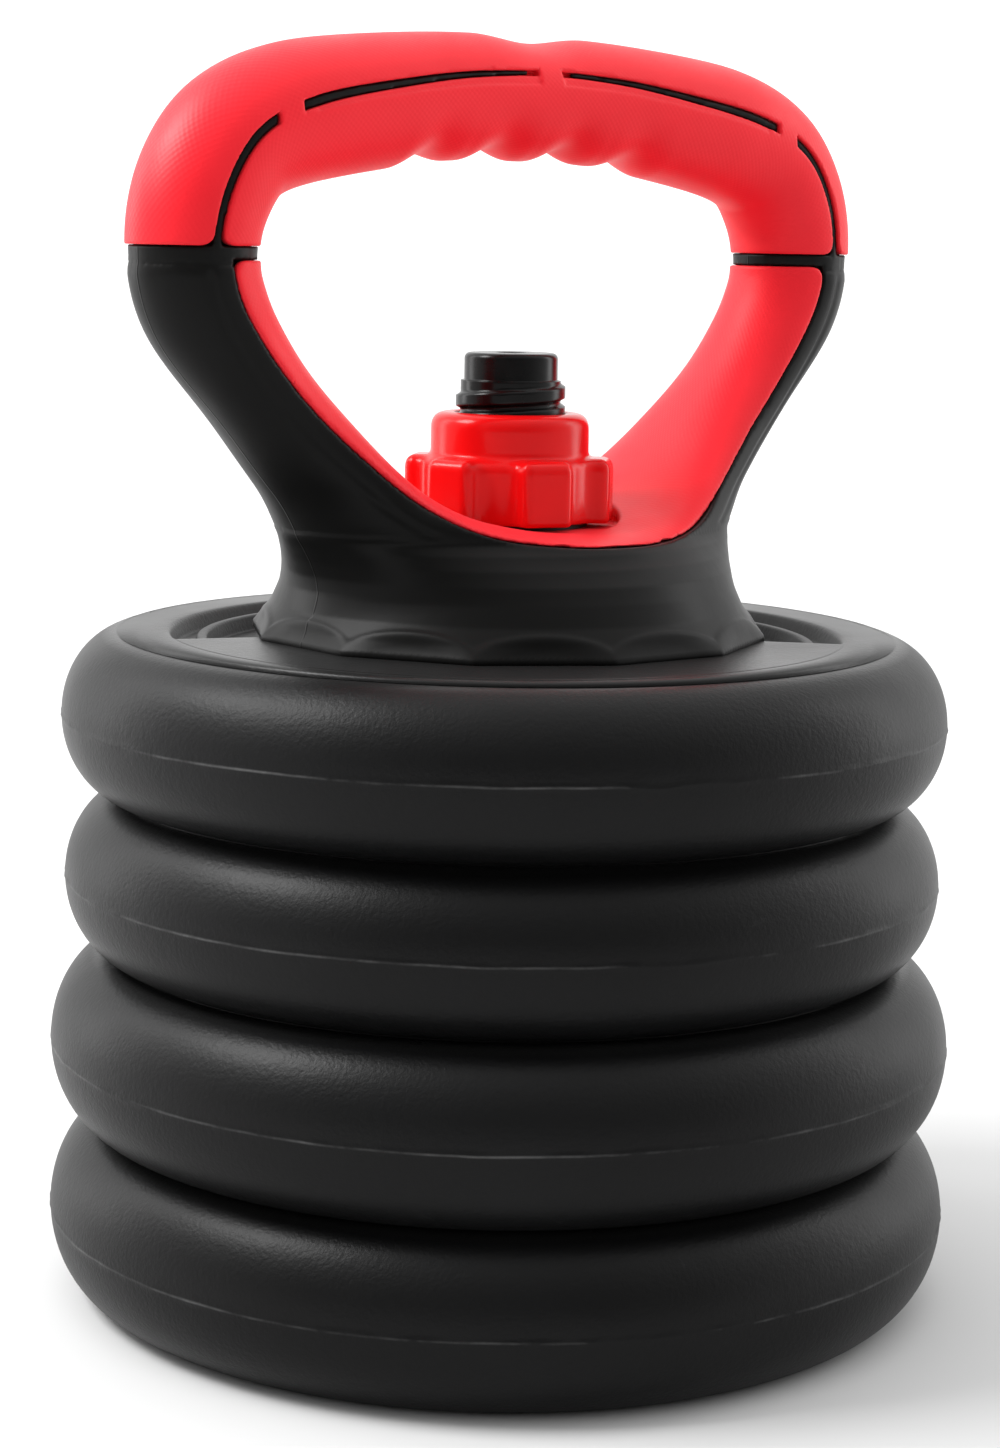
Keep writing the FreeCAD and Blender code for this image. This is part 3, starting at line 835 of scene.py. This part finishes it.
def plate_plastic(number, seam, half):
    """Black moulded shell with a fine grain, faint scuffs, a pale seam and smoother faces; the top
    face also carries a painted reflection, a lighter tint that stands in for the pale surroundings
    it mirrors.
    """
    s = Surface("plate_plastic_%d" % number, Roughness=0.46, Specular_IOR_Level=0.14)
    cloud = s.noise(9.0, 3.0)
    dark = s.ramp(cloud, [(0.35, (0.0030, 0.0030, 0.0031)), (0.75, (0.0052, 0.0053, 0.0055))], True)
    scuff_noise = s.noise(55.0, 8.0, 0.7, 1.5)
    scuff = s.ramp(scuff_noise, [(0.66, 0.0), (0.74, 0.35)])
    tint = mix_colours(s, scuff, dark, (0.030, 0.030, 0.031))
    # Painted reflection: near the top face the colour goes lighter, in place of the grazing
    # reflection of the pale surroundings; the same mask also lowers the roughness there.
    below = s.math("SUBTRACT", seam + half, s.axis("Z"))
    flat = s.math("SUBTRACT", 1.25, s.math("MULTIPLY", below, 1.0 / 0.0012))
    flat = s.math("MINIMUM", s.math("MAXIMUM", flat, 0.0), 1.0)
    tint = mix_colours(s, flat, tint, (0.012, 0.012, 0.012))
    wander = s.math("MULTIPLY", s.math("SUBTRACT", s.noise(30.0, 3.0), 0.5), 0.0012)
    above = s.math("SUBTRACT", s.math("SUBTRACT", s.axis("Z"), wander), seam)
    above = s.math("ABSOLUTE", above, 0.0)
    line = s.math("SUBTRACT", 1.0, s.math("MULTIPLY", above, 1.0 / 0.00045))
    patchy = s.ramp(s.noise(19.0, 6.0, 0.7), [(0.46, 0.0), (0.66, 0.7)])
    line = s.math("MULTIPLY", s.math("MAXIMUM", line, 0.0), patchy)
    s.feed("Base Color", mix_colours(s, line, tint, (0.11, 0.11, 0.11)))
    dull = s.ramp(s.noise(14.0, 5.0), [(0.3, 0.36), (0.7, 0.46)])
    s.feed("Roughness", s.math("SUBTRACT", dull, s.math("MULTIPLY", flat, 0.10)))
    s.relief(s.noise(900.0, 3.0, 0.6), 0.35, 0.0003)
    s.relief(s.noise(330.0, 4.0, 0.6), 0.16, 0.0004)
    s.relief(s.noise(16.0, 2.0), 0.05, 0.002)
    return s.material


def casing_plastic():
    """Smooth satin black with a fine parting line down each leg's outer side."""
    s = Surface("casing_plastic", Roughness=0.38, Specular_IOR_Level=0.10)
    dark = s.ramp(s.noise(18.0, 4.0),
                  [(0.3, (0.0026, 0.0026, 0.0024)), (0.8, (0.0042, 0.0041, 0.0039))], True)
    s.feed("Base Color", dark)
    s.feed("Roughness", s.ramp(s.noise(30.0, 6.0, 0.6), [(0.3, 0.33), (0.75, 0.46)]))
    s.relief(s.noise(300.0, 4.0), 0.10, 0.0003)
    s.relief(s.noise(35.0, 2.0), 0.12, 0.001)
    away = s.math("ABSOLUTE", s.axis("Y"), 0.0)
    line = s.math("MAXIMUM", s.math("SUBTRACT", 1.0, s.math("MULTIPLY", away, 1.0 / 0.0004)), 0.0)
    s.relief(line, 0.5, 0.0002)
    return s.material


def soft_red():
    """Soft red rubber with rows of small dots and a slight sheen."""
    s = Surface("soft_red", Roughness=0.48, Specular_IOR_Level=0.2,
                Sheen_Weight=0.03, Sheen_Roughness=0.5)
    tone = s.ramp(s.noise(22.0, 4.0),
                  [(0.3, (0.74, 0.009, 0.018)), (0.75, (0.84, 0.014, 0.026))], True)
    s.feed("Base Color", tone)
    s.feed("Roughness", s.ramp(s.noise(60.0, 5.0), [(0.3, 0.42), (0.7, 0.54)]))
    s.relief(s.dots(GRAIN_PITCH), 0.085, 0.0002)
    s.relief(s.noise(1300.0, 2.0), 0.10, 0.0002)
    s.relief(s.noise(26.0, 2.0), 0.06, 0.002)
    return s.material


def nut_plastic():
    """Glossy red moulding with faint flow marks."""
    s = Surface("nut_plastic", Roughness=0.2, Specular_IOR_Level=0.14)
    tone = s.ramp(s.noise(30.0, 3.0),
                  [(0.3, (0.60, 0.003, 0.004)), (0.75, (0.69, 0.006, 0.007))], True)
    s.feed("Base Color", tone)
    s.feed("Roughness", s.ramp(s.noise(45.0, 5.0), [(0.3, 0.16), (0.75, 0.28)]))
    s.relief(s.noise(60.0, 2.0), 0.06, 0.0006)
    s.relief(s.noise(700.0, 3.0), 0.05, 0.0002)
    return s.material


def rod_plastic():
    """Glossy black moulding, a little scuffed on the thread."""
    s = Surface("rod_plastic", Roughness=0.22, Specular_IOR_Level=0.15)
    tone = s.ramp(s.noise(60.0, 6.0, 0.65),
                  [(0.45, (0.0015, 0.0015, 0.0015)), (0.8, (0.006, 0.006, 0.006))], True)
    s.feed("Base Color", tone)
    s.feed("Roughness", s.ramp(s.noise(80.0, 6.0), [(0.3, 0.16), (0.75, 0.38)]))
    s.relief(s.noise(160.0, 3.0), 0.08, 0.0004)
    return s.material


def washer_rubber():
    s = Surface("washer_rubber", Roughness=0.7)
    tone = s.ramp(s.noise(70.0, 5.0),
                  [(0.3, (0.014, 0.014, 0.014)), (0.8, (0.03, 0.03, 0.03))], True)
    s.feed("Base Color", tone)
    s.relief(s.noise(500.0, 4.0), 0.25, 0.0003)
    return s.material


def plug_plastic():
    s = Surface("plug_plastic", Roughness=0.4)
    tone = s.ramp(s.noise(90.0, 4.0),
                  [(0.3, (0.02, 0.02, 0.021)), (0.8, (0.04, 0.04, 0.041))], True)
    s.feed("Base Color", tone)
    s.feed("Roughness", s.ramp(s.noise(120.0, 4.0), [(0.3, 0.32), (0.75, 0.5)]))
    s.relief(s.noise(240.0, 3.0), 0.15, 0.0003)
    return s.material


def cement():
    s = Surface("cement", Roughness=0.92)
    tone = s.ramp(s.noise(60.0, 8.0, 0.7),
                  [(0.3, (0.30, 0.29, 0.27)), (0.8, (0.48, 0.47, 0.45))], True)
    s.feed("Base Color", tone)
    s.relief(s.cells(260.0), 0.6, 0.001)
    return s.material


def tube_steel():
    s = Surface("tube_steel", Metallic=1.0, Roughness=0.35)
    tone = s.ramp(s.noise(80.0, 6.0), [(0.3, (0.46, 0.46, 0.47)), (0.8, (0.60, 0.60, 0.61))], True)
    s.feed("Base Color", tone)
    s.feed("Roughness", s.ramp(s.noise(200.0, 4.0), [(0.3, 0.28), (0.75, 0.45)]))
    s.relief(s.noise(600.0, 3.0), 0.1, 0.0002)
    return s.material


def paint(piece, material):
    piece.data.materials.clear()
    piece.data.materials.append(material)


def paint_nodes(material, names):
    for name in names:
        paint(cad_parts[name], material)


# ---------------------------------------------------------------- stage, light, camera

def stage_material():
    """Pale matt floor, lighter further out."""
    s = Surface("stage_white", Roughness=0.9, Specular_IOR_Level=0.2)
    tone = s.ramp(s.noise(3.0, 2.0), [(0.3, (0.58, 0.58, 0.58)), (0.8, (0.60, 0.60, 0.60))], True)
    away = s.nodes.new("ShaderNodeVectorMath")
    away.operation = "LENGTH"
    s.link(s.place, away.inputs[0])
    far = s.ramp(s.math("MULTIPLY", away.outputs["Value"], 0.5), [(0.12, 0.0), (1.0, 1.0)])
    s.feed("Base Color", mix_colours(s, far, tone, (0.94, 0.94, 0.94)))
    return s.material


def make_stage():
    """Pale round floor, wide enough to fade into the pale surroundings."""
    rings = [0.0, 0.3, 0.8, 2.0, 6.0, 18.0]
    count = 64
    turns = [2 * math.pi * k / count for k in range(count)]
    points = [(r * math.cos(a), r * math.sin(a), 0.0) for r in rings for a in turns]
    faces = []
    for ring in range(len(rings) - 1):
        inner, outer = ring * count, (ring + 1) * count
        for k in range(count):
            ahead = (k + 1) % count
            faces.append((inner + k, outer + k, outer + ahead, inner + ahead))
    floor = mesh_object("stage_floor", np.array(points), np.array(faces))
    weld(floor)
    paint(floor, stage_material())


def area_light(name, azimuth, elevation, distance, size, power):
    """Square light that faces the object; azimuth is measured from the camera's side."""
    light = bpy.data.lights.new(name, "AREA")
    light.shape = "RECTANGLE"
    light.size, light.size_y = size
    light.energy = power
    lamp = bpy.data.objects.new(name, light)
    bpy.context.scene.collection.objects.link(lamp)
    around = math.radians(azimuth) - CAMERA_YAW - math.pi / 2
    up = math.radians(elevation)
    out = np.array([math.cos(around) * math.cos(up), math.sin(around) * math.cos(up), math.sin(up)])
    target = np.array([0.0, 0.0, 0.15])
    place = target + out * distance
    back = out
    side = np.cross((0.0, 0.0, 1.0), back)
    side /= np.linalg.norm(side)
    top = np.cross(back, side)
    lamp.matrix_world = axes_matrix(side, top, back, place)


def axes_matrix(right, top, back, place):
    rows = [[right[k], top[k], back[k], place[k]] for k in range(3)]
    return Matrix(rows + [[0, 0, 0, 1]])


def make_world():
    """White surroundings that light the object: bright behind it and overhead, dim in front."""
    world = bpy.data.worlds.new("studio")
    bpy.context.scene.world = world
    world.use_nodes = True
    nodes, links = world.node_tree.nodes, world.node_tree.links
    direction = nodes.new("ShaderNodeTexCoord").outputs["Generated"]
    shares = []
    for axis, low, high, value_low, value_high in (
            ((math.sin(CAMERA_YAW), math.cos(CAMERA_YAW), 0.0), -0.9, 0.1, WORLD_FRONT, WORLD_BACK),
            ((0.0, 0.0, 1.0), 0.25, 0.9, 0.0, WORLD_ZENITH)):
        facing = nodes.new("ShaderNodeVectorMath")
        facing.operation = "DOT_PRODUCT"
        facing.inputs[1].default_value = axis
        links.new(direction, facing.inputs[0])
        share = nodes.new("ShaderNodeMapRange")
        values = (low, high, value_low, value_high)
        for socket, value in zip(("From Min", "From Max", "To Min", "To Max"), values):
            share.inputs[socket].default_value = value
        links.new(facing.outputs["Value"], share.inputs["Value"])
        shares.append(share.outputs["Result"])
    total = nodes.new("ShaderNodeMath")
    total.operation = "ADD"
    for socket, share in zip(total.inputs, shares):
        links.new(share, socket)
    seen = nodes.new("ShaderNodeMath")
    seen.operation = "MAXIMUM"
    links.new(total.outputs["Value"], seen.inputs[0])
    links.new(nodes.new("ShaderNodeLightPath").outputs["Is Camera Ray"], seen.inputs[1])
    background = nodes["Background"]
    background.inputs["Color"].default_value = (1.0, 1.0, 1.0, 1.0)
    links.new(seen.outputs["Value"], background.inputs["Strength"])


def make_lights():
    area_light("key", -80, 46, 1.1, (0.5, 0.4), 14)
    area_light("edge_left", -115, 16, 1.2, (0.3, 0.9), 3)
    area_light("edge_right", 110, 16, 1.2, (0.3, 0.9), 3)


def make_camera():
    """Camera at the viewing angle: yaw from -Y, pitch down, and a slight roll."""
    cos_yaw, sin_yaw = math.cos(CAMERA_YAW), math.sin(CAMERA_YAW)
    cos_pitch, sin_pitch = math.cos(CAMERA_PITCH), math.sin(CAMERA_PITCH)
    ahead = np.array([sin_yaw * cos_pitch, cos_yaw * cos_pitch, -sin_pitch])
    level = np.array([cos_yaw, -sin_yaw, 0.0])
    upright = np.cross(level, ahead)
    right = math.cos(CAMERA_ROLL) * level + math.sin(CAMERA_ROLL) * upright
    top = -math.sin(CAMERA_ROLL) * level + math.cos(CAMERA_ROLL) * upright
    data = bpy.data.cameras.new("camera")
    data.sensor_fit = "VERTICAL"
    data.sensor_height = SENSOR_HEIGHT
    data.sensor_width = SENSOR_WIDTH
    data.lens = LENS
    data.clip_end = CLIP_END
    camera = bpy.data.objects.new("camera", data)
    bpy.context.scene.collection.objects.link(camera)
    camera.matrix_world = axes_matrix(right, top, -ahead, CAMERA_PLACE)
    bpy.context.scene.camera = camera


def main():
    bpy.context.scene.view_settings.view_transform = "Standard"
    make_camera()
    make_world()
    make_lights()
    make_stage()
    for number in (1, 2, 3, 4):
        shell = make_plate(number)
        low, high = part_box("plate_%d_shell" % number)
        paint(shell, plate_plastic(number, 0.5 * (low[2] + high[2]), 0.5 * (high[2] - low[2])))
    paint_nodes(cement(), ["plate_%d_cement_fill" % n for n in (1, 2, 3, 4)])
    plugs = ["plate_%d_filler_plug" % n for n in (1, 2, 3, 4)] + ["rod_end_plug"]
    paint_nodes(plug_plastic(), plugs)
    paint_nodes(tube_steel(), ["rod_steel_tube"])
    paint_nodes(washer_rubber(), ["nut_washer"])
    paint(make_rod(), rod_plastic())
    paint(make_nut(), nut_plastic())
    casing, skin, saddle = make_handle()
    paint(casing, casing_plastic())
    rubber = soft_red()
    paint(skin, rubber)
    paint(saddle, rubber)


main()
